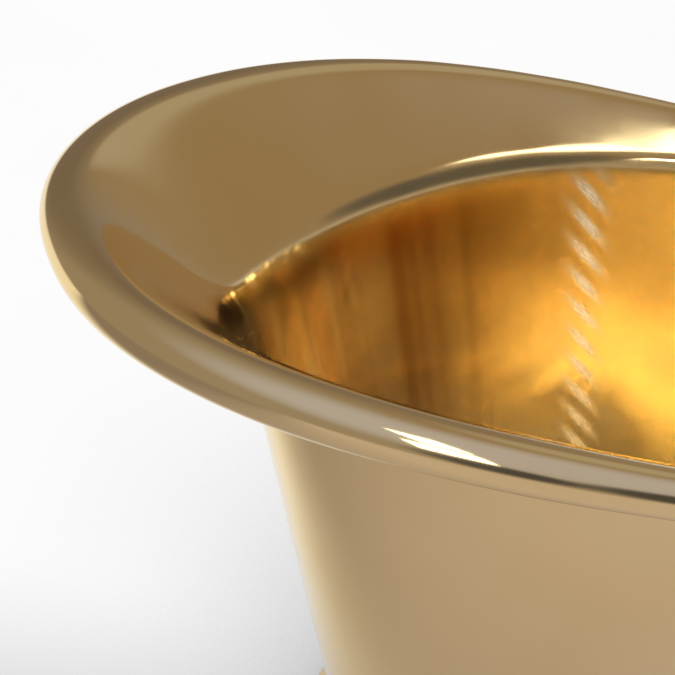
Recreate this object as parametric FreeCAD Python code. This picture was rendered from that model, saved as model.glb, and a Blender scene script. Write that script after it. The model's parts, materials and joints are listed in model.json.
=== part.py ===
import FreeCAD, Part
import math
import os

Vector = FreeCAD.Vector

# A free-standing slipper bathtub raised from sheet brass: one end climbs to a wide headrest brim.
# X runs along the tub from the raised end at -X to the low end, Y across it, and Z up from the floor.
# The origin is on the floor, under the middle of the rim. Lengths are millimetres, angles degrees.

# The rim, measured over the rolled edge
TUB_LENGTH = 1674.0
TUB_WIDTH = 760.0
RAISED_END_HEIGHT = 813.0
LOW_END_HEIGHT = 592.0
RIM_SQUARENESS = 2.16
SHEET = 2.2
ROLL_RADIUS = 18.0
ROLL_TURN = 270.0
ROLL_STEPS = 6

# The brim: where its bend lies, in from and below the middle of the roll, and how it meets the roll
HEAD_BRIM_WIDTH = 146.0
SIDE_BRIM_WIDTH = 50.0
HEAD_BRIM_DROP = 88.0
SIDE_BRIM_DROP = 32.0
HEAD_BEND_REACH = 110.0
SIDE_BEND_REACH = 36.0
HEAD_LIP_SLOPE = 2.0
SIDE_LIP_SLOPE = 40.0
LIP_RUN = 14.0
BRIM_FADE_POWER = 3.0
LIP_FADE_POWER = 16.0
FLARE_STEP_SHARES = (0.34, 0.68)
WALL_STEP_SHARES = (0.0, 0.36, 0.70)

# The foot of the wall, where it is brazed to the floor pan
BASE_LENGTH = 1156.0
BASE_WIDTH = 482.0
BASE_SHIFT = 103.0
BASE_SQUARENESS = 2.3
PAN_JOINT_HEIGHT = 130.0
PAN_HEIGHT = 88.0
PAN_BEND = 36.0

# The two brazed seams up the sides, measured round from the raised end
SEAM_ANGLE = 80.0
SEAM_WIDTH = 9.0

# The stiffening tube inside the rolled rim
CORE_WALL = 2.0
CORE_GAP = 1.0
CORE_SIDES = 12

# The plinth skirt under the pan
PLINTH_SEAT_SHARE = 0.44
PLINTH_FLARE = 26.0
PLINTH_CLEARANCE = 3.0
PLINTH_FLANGE = 20.0
PLINTH_CORNER = 6.0
PLINTH_FLARE_SHARES = (0.0, 0.10, 0.36)
SEAT_GAP = 0.3

# The steel ladder frame under the pan
RAIL_LENGTH = 760.0
RAIL_SPACING = 260.0
SECTION_WIDTH = 40.0
SECTION_HEIGHT = 30.0
SECTION_WALL = 2.5
BEARER_SPACING = 340.0
BEARER_COUNT = 3
PAD_THICKNESS = 4.0
PAD_MARGIN = 3.0
RAIL_PAD_LENGTH = 190.0

# The studs that hold the frame to the pan
STUD_RADIUS = 4.0
STUD_BASE_RADIUS = 10.0
STUD_BASE_THICKNESS = 2.0
STUD_SPREAD = 130.0
STUD_LENGTH = 50.0
STUD_CLEARANCE = 0.5
STUD_WASHER_RADIUS = 9.0
STUD_WASHER_THICKNESS = 1.6
STUD_NUT_FLATS = 13.0
STUD_NUT_HEIGHT = 6.5

# The four levelling feet
FOOT_INSET = 100.0
SCREW_RADIUS = 6.0
SCREW_FIT = 0.1
SCREW_TOP_DROP = 5.0
SCREW_CHAMFER = 1.5
FOOT_DISC_RADIUS = 27.0
FOOT_DISC_THICKNESS = 7.0
FOOT_HEX_FLATS = 19.0
FOOT_HEX_HEIGHT = 8.0
SOLE_THICKNESS = 5.0
SOLE_WALL = 2.5
SOLE_LIP = 3.0
BUSH_RADIUS = 11.0
BUSH_FLANGE_RADIUS = 16.0
BUSH_FLANGE_THICKNESS = 5.0
BUSH_FIT = 0.05
LOCK_NUT_FLATS = 19.0
LOCK_NUT_HEIGHT = 8.0

# The waste in the floor of the tub
WASTE_X = 275.0
TAIL_RADIUS = 23.9
TAIL_BORE = 19.5
TAIL_LENGTH = 75.0
TAIL_FREE_LENGTH = 35.0
TAIL_GROOVE_WIDTH = 3.0
TAIL_GROOVE_DEPTH = 1.2
WASTE_HOLE_CLEARANCE = 1.1
WASTE_FIT = 0.3
FLANGE_RADIUS = 37.0
FLANGE_EDGE = 2.0
FLANGE_THICKNESS = 4.0
FLANGE_TOP_RADIUS = 33.0
MOUTH_RADIUS = 26.0
MOUTH_DEPTH = 7.0
GASKET_RADIUS = 35.0
GASKET_THICKNESS = 2.0
WASHER_RADIUS = 36.0
WASHER_THICKNESS = 4.0
SLIP_WASHER_THICKNESS = 1.5
BACK_NUT_FLATS = 64.0
BACK_NUT_HEIGHT = 11.0
HUB_RADIUS = 11.5
HUB_HEIGHT = 10.0
HUB_DROP = 14.0
SPOKE_COUNT = 3
SPOKE_WIDTH = 5.0

# The plug and its latch
CAP_RADIUS = 32.0
CAP_EDGE = 2.0
CAP_CROWN = 5.0
CAP_GAP = 0.3
SEAL_THICKNESS = 4.5
SEAL_GAP = 0.3
STEM_RADIUS = 5.0
STEM_LENGTH = 36.0
STEM_SOCKET = 4.0
STEM_FIT = 0.1
BARREL_RADIUS = 8.0
BARREL_HEAD_RADIUS = 10.5
BARREL_HEAD = 3.0
BARREL_LENGTH = 38.0
BARREL_FLOOR = 5.0
SPRING_WIRE = 0.5
SPRING_RADIUS = 4.2
SPRING_TURNS = 4
QUARTERS = 4
SPRING_GAP = 0.2

# How finely the curved sheets are laid out
STATIONS = 72
FULL_TURN = 360.0
HALF_TURN = 180.0
RIGHT_ANGLE = 90.0
HEX_SIDES = 6
DEGREE = 3
ANGLE_STEP = 0.01
SEW_TOLERANCE = 0.0005
SAME_WAY = 1
CUT_OVERRUN = 5.0

ROOT_UP = Vector(0, 0, 1)
RIM_HALF_LENGTH = TUB_LENGTH / 2 - ROLL_RADIUS
RIM_HALF_WIDTH = TUB_WIDTH / 2 - ROLL_RADIUS
RIM_RAISED = RAISED_END_HEIGHT - ROLL_RADIUS
RIM_LOW = LOW_END_HEIGHT - ROLL_RADIUS
PAN_UNDERSIDE = PAN_HEIGHT - SHEET
FRAME_TOP = PAN_UNDERSIDE - PAD_THICKNESS
FRAME_BOTTOM = FRAME_TOP - SECTION_HEIGHT
SCREW_TOP = FRAME_TOP - SCREW_TOP_DROP
FLANGE_BOTTOM = PAN_HEIGHT + GASKET_THICKNESS
FLANGE_TOP = FLANGE_BOTTOM + FLANGE_THICKNESS
TAIL_BOTTOM = FLANGE_BOTTOM - TAIL_LENGTH
HUB_TOP = PAN_HEIGHT - HUB_DROP
CAP_BOTTOM = FLANGE_TOP + CAP_GAP
BARREL_TOP = HUB_TOP + BARREL_HEAD
BARREL_BOTTOM = BARREL_TOP - BARREL_LENGTH
STEM_TOP = CAP_BOTTOM + STEM_SOCKET


def superellipse(angle, half_length, half_width, squareness):
    """A point of an oval in plan, counted round from the -X tip."""
    along = math.cos(math.radians(angle))
    across = math.sin(math.radians(angle))
    size = (abs(along) ** squareness + abs(across) ** squareness) ** (-1 / squareness)
    return Vector(-half_length * size * along, half_width * size * across, 0)


def outward(angle, half_length, half_width, squareness):
    """The level direction square to the oval, pointing out of it."""
    ahead = superellipse(angle + ANGLE_STEP, half_length, half_width, squareness)
    behind = superellipse(angle - ANGLE_STEP, half_length, half_width, squareness)
    run = (ahead - behind).normalize()
    return Vector(-run.y, run.x, 0)


def rim_outward(angle):
    return outward(angle, RIM_HALF_LENGTH, RIM_HALF_WIDTH, RIM_SQUARENESS)


def base_outward(angle):
    return outward(angle, BASE_LENGTH / 2, BASE_WIDTH / 2, BASE_SQUARENESS)


def raised_share(x):
    """1 at the raised end, 0 at the low end, with level ends and a steady climb between them."""
    return (1 - math.sin(math.pi * x / (2 * RIM_HALF_LENGTH))) / 2


def rim_centre(angle):
    """The middle of the rolled edge."""
    point = superellipse(angle, RIM_HALF_LENGTH, RIM_HALF_WIDTH, RIM_SQUARENESS)
    point.z = RIM_LOW + (RIM_RAISED - RIM_LOW) * raised_share(point.x)
    return point


def head_blend(head, side, x, power=BRIM_FADE_POWER):
    """A size that is largest at the headrest and fades along the sides."""
    return side + (head - side) * raised_share(x) ** power


def wall_foot(angle):
    """The wall's bottom edge, on the pan's joint."""
    point = superellipse(angle, BASE_LENGTH / 2, BASE_WIDTH / 2, BASE_SQUARENESS)
    return point + Vector(BASE_SHIFT, 0, PAN_JOINT_HEIGHT)


def brim_corner(angle):
    """The corner of the bend between the wall and the brim."""
    rim = rim_centre(angle)
    width = head_blend(HEAD_BRIM_WIDTH, SIDE_BRIM_WIDTH, rim.x)
    drop = head_blend(HEAD_BRIM_DROP, SIDE_BRIM_DROP, rim.x)
    return rim - rim_outward(angle) * width - ROOT_UP * drop


def control_gain(step_angle):
    """How far outside a circle the control points of a cubic spline along it lie."""
    return 3 / (2 + math.cos(math.radians(step_angle)))


def roll_point(angle, radius, turn):
    """A point round the rolled edge, turned up from its outward side."""
    side = rim_outward(angle) * math.cos(math.radians(turn))
    rise = ROOT_UP * math.sin(math.radians(turn))
    return rim_centre(angle) + (side + rise) * radius


def wall_profile(angle):
    """Control points of the sheet's inside face: up the wall, over the bend and brim, round the roll."""
    x = rim_centre(angle).x
    foot = wall_foot(angle)
    corner = brim_corner(angle)
    reach = head_blend(HEAD_BEND_REACH, SIDE_BEND_REACH, x)
    below_bend = corner + (foot - corner).normalize() * reach
    points = [foot + (below_bend - foot) * share for share in WALL_STEP_SHARES]
    points += [below_bend, corner]
    slope = head_blend(HEAD_LIP_SLOPE, SIDE_LIP_SLOPE, x, LIP_FADE_POWER)
    step = ROLL_TURN / ROLL_STEPS
    radius = ROLL_RADIUS * control_gain(step)
    first_turn = RIGHT_ANGLE + slope
    lip = roll_point(angle, radius, first_turn)
    level = rim_outward(angle) * math.cos(math.radians(slope))
    climb = ROOT_UP * math.sin(math.radians(slope))
    lip_start = lip - (level + climb) * LIP_RUN
    points += [corner + (lip_start - corner) * share for share in FLARE_STEP_SHARES]
    points.append(lip_start)
    points += [roll_point(angle, radius, first_turn - step * count) for count in range(ROLL_STEPS + 1)]
    return points


LIP_ROW = len(WALL_STEP_SHARES) + len(FLARE_STEP_SHARES) + 3
LAST_ROW = LIP_ROW + ROLL_STEPS


def pan_profile(angle):
    """Control points of the pan's inside face, from its flat floor up to its joint with the wall."""
    foot = wall_foot(angle)
    down = (foot - brim_corner(angle)).normalize()
    corner = foot + down * ((PAN_JOINT_HEIGHT - PAN_HEIGHT) / -down.z)
    inward = base_outward(angle) * -1
    floor = [corner + inward * PAN_BEND * 2, corner + inward * PAN_BEND]
    return floor + [corner, (foot + corner) / 2, foot]


def control_net(profile, start):
    """The control points of a ring of profiles, from a start angle right round."""
    return [profile(start + FULL_TURN * count / STATIONS) for count in range(STATIONS)]


def turn_gain(before, here, after):
    """The control gain where the profile turns at a control point."""
    turn = (here - before).getAngle(after - here)
    return control_gain(math.degrees(turn))


def offset_net(net, distance):
    """The same net moved square to its sheet: into the tub where the section climbs, else out of it."""
    last = len(net[0]) - 1
    moved = []
    for count, column in enumerate(net):
        ahead = net[(count + 1) % len(net)]
        behind = net[count - 1]
        points = []
        for row, point in enumerate(column):
            below = column[max(row - 1, 0)]
            above = column[min(row + 1, last)]
            square = (ahead[row] - behind[row]).cross(above - below).normalize()
            gain = 1 if row in (0, last) else turn_gain(below, point, above)
            points.append(point + square * distance * gain)
        moved.append(points)
    return moved


def closed_curve(points):
    """A smooth closed curve through a ring of points, one parameter step per point."""
    curve = Part.BSplineCurve()
    steps = [float(count) for count in range(len(points) + 1)]
    curve.interpolate(Points=points, PeriodicFlag=True, Parameters=steps)
    return curve


def net_surface(net, closed_section=False):
    """A smooth surface, closed round the ring, whose sections follow the net's control points."""
    rows = [closed_curve(list(row)) for row in zip(*net)]
    if closed_section:
        section_knots = list(range(len(rows) + 1))
        section_mults = [1] * len(section_knots)
    else:
        section_knots = list(range(len(rows) - DEGREE + 1))
        section_mults = [1] * len(section_knots)
        section_mults[0] = section_mults[-1] = DEGREE + 1
    row_poles = [row.getPoles() for row in rows]
    poles = [list(column) for column in zip(*row_poles)]
    surface = Part.BSplineSurface()
    surface.buildFromPolesMultsKnots(
        poles, rows[0].getMultiplicities(), section_mults, rows[0].getKnots(), section_knots,
        True, closed_section, DEGREE, DEGREE)
    return surface


def spans(cuts):
    return list(zip(cuts[:-1], cuts[1:]))


def band_faces(surface, around_cuts, section_cuts):
    """The surface's faces between cuts round the ring and cuts along the section."""
    faces = []
    for first, last in spans(around_cuts):
        for low, high in spans(section_cuts):
            piece = surface.copy()
            piece.segment(first, last, low, high)
            faces.append(piece.toShape())
    return faces


def edge_faces(face, back, around_cuts, section):
    """The sheet's edge along the ring, ruled between its two faces."""
    faces = []
    for first, last in spans(around_cuts):
        near = face.vIso(section).toShape(first, last)
        far = back.vIso(section).toShape(first, last)
        faces.append(Part.makeRuledSurface(near, far, SAME_WAY))
    return faces


def end_faces(face, back, around, section_cuts):
    """The sheet's edge along the section, ruled between its two faces."""
    faces = []
    for low, high in spans(section_cuts):
        near = face.uIso(around).toShape(low, high)
        far = back.uIso(around).toShape(low, high)
        faces.append(Part.makeRuledSurface(near, far, SAME_WAY))
    return faces


def sewn_solid(faces):
    shell = Part.makeCompound(faces)
    shell.sewShape(SEW_TOLERANCE)
    solid = Part.makeSolid(shell.Shells[0])
    if solid.Volume < 0:
        solid.reverse()
    return solid


def around_at(angle, start):
    return (angle - start) % FULL_TURN * STATIONS / FULL_TURN


def open_sheet(surfaces, around_cuts, section_cuts):
    """A piece of sheet with an edge on all four sides."""
    face, back = surfaces
    faces = band_faces(face, around_cuts, section_cuts) + band_faces(back, around_cuts, section_cuts)
    for section in (section_cuts[0], section_cuts[-1]):
        faces += edge_faces(face, back, around_cuts, section)
    for around in (around_cuts[0], around_cuts[-1]):
        faces += end_faces(face, back, around, section_cuts)
    return sewn_solid(faces)


def wall_surfaces(start):
    net = control_net(wall_profile, start)
    return net_surface(net), net_surface(offset_net(net, -SHEET))


def core_profile(radius):
    """Control points of a round section inside the rolled edge."""
    step = FULL_TURN / CORE_SIDES
    reach = radius * control_gain(step)
    return lambda angle: [roll_point(angle, reach, step * count) for count in range(CORE_SIDES)]


def core_tube(first, last, start):
    """A stretch of the stiffening tube between two angles."""
    outer_radius = ROLL_RADIUS - SHEET - CORE_GAP
    inner_radius = outer_radius - CORE_WALL
    outer = net_surface(control_net(core_profile(outer_radius), start), True)
    inner = net_surface(control_net(core_profile(inner_radius), start), True)
    around_cuts = [around_at(first, start), around_at(last, start)]
    section_cuts = [0, CORE_SIDES / 2, CORE_SIDES]
    faces = band_faces(outer, around_cuts, section_cuts) + band_faces(inner, around_cuts, section_cuts)
    for around in around_cuts:
        faces += end_faces(outer, inner, around, section_cuts)
    return sewn_solid(faces)


def seam_half_angle():
    """Half the braze's width, as an angle round the rim."""
    step = rim_centre(SEAM_ANGLE + ANGLE_STEP) - rim_centre(SEAM_ANGLE - ANGLE_STEP)
    return SEAM_WIDTH / 2 / (step.Length / (2 * ANGLE_STEP))


def rim_and_walls():
    """The two sheets of the body, their rolled edges, the tubes inside these and the two seams."""
    half = seam_half_angle()
    lip = LIP_ROW - 1
    end = LAST_ROW + 1 - DEGREE
    pieces = {}
    stretches = {
        "slipper_end": (-SEAM_ANGLE + half, SEAM_ANGLE - half, HALF_TURN),
        "low_end": (SEAM_ANGLE + half, FULL_TURN - SEAM_ANGLE - half, 0),
    }
    for name, (first, last, start) in stretches.items():
        surfaces = wall_surfaces(start)
        around_cuts = [around_at(first, start), around_at(last, start)]
        pieces[name + "_shell"] = open_sheet(surfaces, around_cuts, [0, lip])
        pieces[name + "_rolled_rim"] = open_sheet(surfaces, around_cuts, [lip, end])
        pieces[name + "_rim_core"] = core_tube(first, last, start)
    for name, angle in (("left", SEAM_ANGLE), ("right", -SEAM_ANGLE)):
        around_cuts = [around_at(angle - half, HALF_TURN), around_at(angle + half, HALF_TURN)]
        pieces["brazed_seam_" + name] = open_sheet(wall_surfaces(HALF_TURN), around_cuts, [0, end])
    return pieces


def disc_face(surface, around_cuts, section):
    """A flat face inside one closed line of a surface."""
    line = surface.vIso(section)
    return Part.Face(Part.Wire([line.toShape(first, last) for first, last in spans(around_cuts)]))


def cylinder(radius, low, high, x=0, y=0):
    return Part.makeCylinder(radius, high - low, Vector(x, y, low))


def ring(radius, bore, low, high, x=0, y=0):
    hole = cylinder(bore, low - CUT_OVERRUN, high + CUT_OVERRUN, x, y)
    return cylinder(radius, low, high, x, y).cut(hole)


def hexagon(flats, low, high, x=0, y=0):
    """A hexagonal bar measured across its flats."""
    reach = flats / 2 / math.cos(math.pi / HEX_SIDES)
    turns = [2 * math.pi * count / HEX_SIDES for count in range(HEX_SIDES + 1)]
    corners = [Vector(x + reach * math.cos(turn), y + reach * math.sin(turn), low) for turn in turns]
    return Part.Face(Part.makePolygon(corners)).extrude(ROOT_UP * (high - low))


def hex_nut(flats, bore, low, high, x=0, y=0):
    hole = cylinder(bore, low - CUT_OVERRUN, high + CUT_OVERRUN, x, y)
    return hexagon(flats, low, high, x, y).cut(hole)


def turned(outline, x=0, y=0):
    """A round piece from its half section, given as radius and height."""
    points = [Vector(radius, 0, height) for radius, height in outline]
    face = Part.Face(Part.makePolygon(points + points[:1]))
    solid = face.revolve(Vector(0, 0, 0), ROOT_UP, FULL_TURN)
    solid.translate(Vector(x, y, 0))
    return solid


def floor_pan():
    """The dished floor with its hole for the waste."""
    net = control_net(pan_profile, 0)
    face = net_surface(net)
    back = net_surface(offset_net(net, -SHEET))
    around_cuts = [0, STATIONS / 2, STATIONS]
    joint = len(net[0]) - DEGREE
    faces = band_faces(face, around_cuts, [0, joint]) + band_faces(back, around_cuts, [0, joint])
    faces += edge_faces(face, back, around_cuts, joint)
    faces += [disc_face(face, around_cuts, 0), disc_face(back, around_cuts, 0)]
    hole = cylinder(TAIL_RADIUS + WASTE_HOLE_CLEARANCE, PAN_UNDERSIDE - CUT_OVERRUN,
                    PAN_HEIGHT + CUT_OVERRUN, WASTE_X)
    return sewn_solid(faces).cut(hole)


def plinth_skirt():
    """The skirt from the pan's bend down to the floor, with its edge turned in."""
    pan_net = control_net(pan_profile, 0)
    seat = net_surface(offset_net(pan_net, -SHEET - SEAT_GAP))
    section = PLINTH_SEAT_SHARE * (len(pan_net[0]) - DEGREE)
    outer_net, inner_net = [], []
    for count in range(STATIONS):
        out = base_outward(FULL_TURN * count / STATIONS)
        top = seat.value(count, section)
        stretch = (seat.value(count, section + ANGLE_STEP) - top).Length / ANGLE_STEP
        inner_top = seat.value(count, section - SHEET / stretch)
        foot = Vector(top.x, top.y, PLINTH_CLEARANCE) + out * PLINTH_FLARE
        height = top.z - foot.z
        column = [top + out * PLINTH_FLARE * share - ROOT_UP * height * row / len(PLINTH_FLARE_SHARES)
                  for row, share in enumerate(PLINTH_FLARE_SHARES)]
        column += [foot + ROOT_UP * PLINTH_CORNER, foot]
        column += [foot - out * PLINTH_CORNER, foot - out * PLINTH_FLANGE]
        outer_net.append(column)
        inner_net.append(inner_top)
    inner = offset_net(outer_net, -SHEET)
    for column, inner_top in zip(inner, inner_net):
        column[0] = inner_top
    face = net_surface(outer_net)
    back = net_surface(inner)
    around_cuts = [0, STATIONS / 2, STATIONS]
    last = len(outer_net[0]) - DEGREE
    faces = band_faces(face, around_cuts, [0, last]) + band_faces(back, around_cuts, [0, last])
    faces += edge_faces(face, back, around_cuts, 0) + edge_faces(face, back, around_cuts, last)
    return sewn_solid(faces)


def section_bar(length, x, y, along_x):
    """A length of box section with open ends, level with the top of the frame."""
    size = (length, SECTION_WIDTH) if along_x else (SECTION_WIDTH, length)
    corner = Vector(x - size[0] / 2, y - size[1] / 2, FRAME_BOTTOM)
    bar = Part.makeBox(size[0], size[1], SECTION_HEIGHT, corner)
    over = CUT_OVERRUN
    if along_x:
        bore_size = (length + 2 * over, SECTION_WIDTH - 2 * SECTION_WALL)
    else:
        bore_size = (SECTION_WIDTH - 2 * SECTION_WALL, length + 2 * over)
    bore_corner = Vector(x - bore_size[0] / 2, y - bore_size[1] / 2, FRAME_BOTTOM + SECTION_WALL)
    bore_height = SECTION_HEIGHT - 2 * SECTION_WALL
    return bar.cut(Part.makeBox(bore_size[0], bore_size[1], bore_height, bore_corner))


def bearer_places():
    middle = (BEARER_COUNT - 1) / 2
    return [BASE_SHIFT + BEARER_SPACING * (count - middle) for count in range(BEARER_COUNT)]


def foot_places():
    """The levelling feet, named from the raised end."""
    reach = RAIL_LENGTH / 2 - FOOT_INSET
    return {end + "_" + side: (BASE_SHIFT + along * reach, across * RAIL_SPACING / 2)
            for end, along in (("head", -1), ("low", 1))
            for side, across in (("left", 1), ("right", -1))}


def stud_places():
    ends = bearer_places()
    return [(x, across * STUD_SPREAD / 2) for x in (ends[0], ends[-1]) for across in (1, -1)]


def frame_bars():
    """Two rails along the tub and the bearers between them."""
    pieces = {}
    for side, across in (("left", 1), ("right", -1)):
        rail = section_bar(RAIL_LENGTH, BASE_SHIFT, across * RAIL_SPACING / 2, True)
        for x, y in foot_places().values():
            rail = rail.cut(cylinder(BUSH_RADIUS + BUSH_FIT, FRAME_BOTTOM - CUT_OVERRUN,
                                     FRAME_TOP + CUT_OVERRUN, x, y))
        pieces["frame_rail_" + side] = rail
    for name, x in zip(("head", "middle", "low"), bearer_places()):
        bearer = section_bar(RAIL_SPACING - SECTION_WIDTH, x, 0, False)
        for stud_x, y in stud_places():
            bearer = bearer.cut(cylinder(STUD_RADIUS + STUD_CLEARANCE, FRAME_BOTTOM - CUT_OVERRUN,
                                         FRAME_TOP + CUT_OVERRUN, stud_x, y))
        pieces[name + "_bearer"] = bearer
    return pieces


def pad(length, width, x, y):
    corner = Vector(x - length / 2, y - width / 2, FRAME_TOP)
    return Part.makeBox(length, width, PAD_THICKNESS, corner)


def bearer_pads():
    """Rubber strips between the frame and the pan, holed for the studs."""
    width = SECTION_WIDTH - 2 * PAD_MARGIN
    length = RAIL_SPACING - SECTION_WIDTH - 2 * PAD_MARGIN
    pads = []
    for x in bearer_places():
        strip = pad(width, length, x, 0)
        for stud_x, y in stud_places():
            strip = strip.cut(cylinder(STUD_BASE_RADIUS + STUD_CLEARANCE, FRAME_TOP - CUT_OVERRUN,
                                       PAN_UNDERSIDE + CUT_OVERRUN, stud_x, y))
        pads.append(strip)
    middle = BEARER_SPACING / 2 - SECTION_WIDTH
    for x in (BASE_SHIFT - middle, BASE_SHIFT + middle):
        pads += [pad(RAIL_PAD_LENGTH, width, x, across * RAIL_SPACING / 2) for across in (1, -1)]
    return Part.makeCompound(pads)


def frame_fixings():
    """The studs brazed to the pan, with the washers and nuts that draw the frame up to it."""
    studs, washers, nuts = [], [], []
    washer_bottom = FRAME_BOTTOM - STUD_WASHER_THICKNESS
    for x, y in stud_places():
        shank = cylinder(STUD_RADIUS, PAN_UNDERSIDE - STUD_LENGTH, PAN_UNDERSIDE, x, y)
        base = cylinder(STUD_BASE_RADIUS, PAN_UNDERSIDE - STUD_BASE_THICKNESS, PAN_UNDERSIDE, x, y)
        studs.append(shank.fuse(base).removeSplitter())
        bore = STUD_RADIUS + BUSH_FIT
        washers.append(ring(STUD_WASHER_RADIUS, bore, washer_bottom, FRAME_BOTTOM, x, y))
        nuts.append(hex_nut(STUD_NUT_FLATS, bore, washer_bottom - STUD_NUT_HEIGHT, washer_bottom, x, y))
    return {
        "pan_studs": Part.makeCompound(studs),
        "stud_washers": Part.makeCompound(washers),
        "stud_nuts": Part.makeCompound(nuts),
    }


def foot_screw(x, y):
    """A threaded foot: its disc, its spanner hexagon and its screw."""
    disc_top = SOLE_THICKNESS + FOOT_DISC_THICKNESS
    disc = cylinder(FOOT_DISC_RADIUS, SOLE_THICKNESS, disc_top, x, y)
    grip = hexagon(FOOT_HEX_FLATS, disc_top, disc_top + FOOT_HEX_HEIGHT, x, y)
    screw = turned([(0, disc_top), (SCREW_RADIUS, disc_top), (SCREW_RADIUS, SCREW_TOP - SCREW_CHAMFER),
                    (SCREW_RADIUS - SCREW_CHAMFER, SCREW_TOP), (0, SCREW_TOP)], x, y)
    return disc.fuse(grip).fuse(screw).removeSplitter()


def foot_sole(x, y):
    """The rubber cup under a foot."""
    inner = FOOT_DISC_RADIUS + SCREW_FIT
    outer = FOOT_DISC_RADIUS + SOLE_WALL
    top = SOLE_THICKNESS + SOLE_LIP
    return turned([(0, 0), (outer, 0), (outer, top), (inner, top), (inner, SOLE_THICKNESS),
                   (0, SOLE_THICKNESS)], x, y)


def levelling_feet():
    """The four feet, and the bushes and lock nuts that hold them in the rails."""
    pieces = {}
    bushes, nuts = [], []
    bore = SCREW_RADIUS + SCREW_FIT
    flange_bottom = FRAME_BOTTOM - BUSH_FLANGE_THICKNESS
    for name, (x, y) in foot_places().items():
        pieces["foot_screw_" + name] = foot_screw(x, y)
        pieces["foot_sole_" + name] = foot_sole(x, y)
        bushes.append(turned([(bore, flange_bottom), (BUSH_FLANGE_RADIUS, flange_bottom),
                              (BUSH_FLANGE_RADIUS, FRAME_BOTTOM), (BUSH_RADIUS, FRAME_BOTTOM),
                              (BUSH_RADIUS, FRAME_TOP), (bore, FRAME_TOP)], x, y))
        nuts.append(hex_nut(LOCK_NUT_FLATS, bore, flange_bottom - LOCK_NUT_HEIGHT, flange_bottom, x, y))
    pieces["foot_bushes"] = Part.makeCompound(bushes)
    pieces["foot_lock_nuts"] = Part.makeCompound(nuts)
    return pieces


def mouth_radius_at(height):
    """The radius of the waste's mouth at a height in it."""
    return TAIL_BORE + (MOUTH_RADIUS - TAIL_BORE) * (height - (FLANGE_TOP - MOUTH_DEPTH)) / MOUTH_DEPTH


def waste_body():
    """The flange and its threaded tail in one casting, with a spoked hub for the latch."""
    free_top = TAIL_BOTTOM + TAIL_FREE_LENGTH
    groove_top = free_top + TAIL_GROOVE_WIDTH
    groove_radius = TAIL_RADIUS - TAIL_GROOVE_DEPTH
    body = turned([(TAIL_BORE, TAIL_BOTTOM), (TAIL_RADIUS, TAIL_BOTTOM), (TAIL_RADIUS, free_top),
                   (groove_radius, free_top), (groove_radius, groove_top), (TAIL_RADIUS, groove_top),
                   (TAIL_RADIUS, FLANGE_BOTTOM), (FLANGE_RADIUS, FLANGE_BOTTOM),
                   (FLANGE_RADIUS, FLANGE_BOTTOM + FLANGE_EDGE), (FLANGE_TOP_RADIUS, FLANGE_TOP),
                   (MOUTH_RADIUS, FLANGE_TOP), (TAIL_BORE, FLANGE_TOP - MOUTH_DEPTH)])
    hub_bottom = HUB_TOP - HUB_HEIGHT
    hub = cylinder(HUB_RADIUS, hub_bottom, HUB_TOP)
    wall_middle = (TAIL_BORE + TAIL_RADIUS) / 2
    for count in range(SPOKE_COUNT):
        corner = Vector(0, -SPOKE_WIDTH / 2, hub_bottom)
        spoke = Part.makeBox(wall_middle, SPOKE_WIDTH, HUB_HEIGHT, corner)
        spoke.rotate(Vector(0, 0, 0), ROOT_UP, FULL_TURN * count / SPOKE_COUNT)
        hub = hub.fuse(spoke)
    bore = cylinder(BARREL_RADIUS + BUSH_FIT, hub_bottom - CUT_OVERRUN, HUB_TOP + CUT_OVERRUN)
    body = body.fuse(hub.cut(bore)).removeSplitter()
    body.translate(Vector(WASTE_X, 0, 0))
    return body


def waste_fixings():
    """The gasket above the pan, and the washers and nut that clamp the waste from below."""
    bore = TAIL_RADIUS + WASTE_FIT
    washer_bottom = PAN_UNDERSIDE - WASHER_THICKNESS
    slip_bottom = washer_bottom - SLIP_WASHER_THICKNESS
    return {
        "waste_gasket": ring(GASKET_RADIUS, bore, PAN_HEIGHT, FLANGE_BOTTOM, WASTE_X),
        "pan_washer": ring(WASHER_RADIUS, bore, washer_bottom, PAN_UNDERSIDE, WASTE_X),
        "slip_washer": ring(WASHER_RADIUS, bore, slip_bottom, washer_bottom, WASTE_X),
        "waste_back_nut": hex_nut(BACK_NUT_FLATS, TAIL_RADIUS + BUSH_FIT, slip_bottom - BACK_NUT_HEIGHT,
                                  slip_bottom, WASTE_X),
    }


def plug_cap():
    """A domed cap with a socket for the stem."""
    edge_top = CAP_BOTTOM + CAP_EDGE
    crown = edge_top + CAP_CROWN
    dome_radius = (CAP_RADIUS ** 2 + CAP_CROWN ** 2) / (2 * CAP_CROWN)
    half = math.asin(CAP_RADIUS / dome_radius) / 2
    middle = Vector(dome_radius * math.sin(half), 0, crown - dome_radius * (1 - math.cos(half)))
    rim_low = Vector(CAP_RADIUS, 0, CAP_BOTTOM)
    rim_high = Vector(CAP_RADIUS, 0, edge_top)
    top = Vector(0, 0, crown)
    centre = Vector(0, 0, CAP_BOTTOM)
    edges = [Part.LineSegment(centre, rim_low).toShape(), Part.LineSegment(rim_low, rim_high).toShape(),
             Part.Arc(rim_high, middle, top).toShape(), Part.LineSegment(top, centre).toShape()]
    cap = Part.Face(Part.Wire(edges)).revolve(Vector(0, 0, 0), ROOT_UP, FULL_TURN)
    socket = cylinder(STEM_RADIUS + BUSH_FIT, CAP_BOTTOM - CUT_OVERRUN, STEM_TOP)
    cap = cap.cut(socket)
    cap.translate(Vector(WASTE_X, 0, 0))
    return cap


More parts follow.
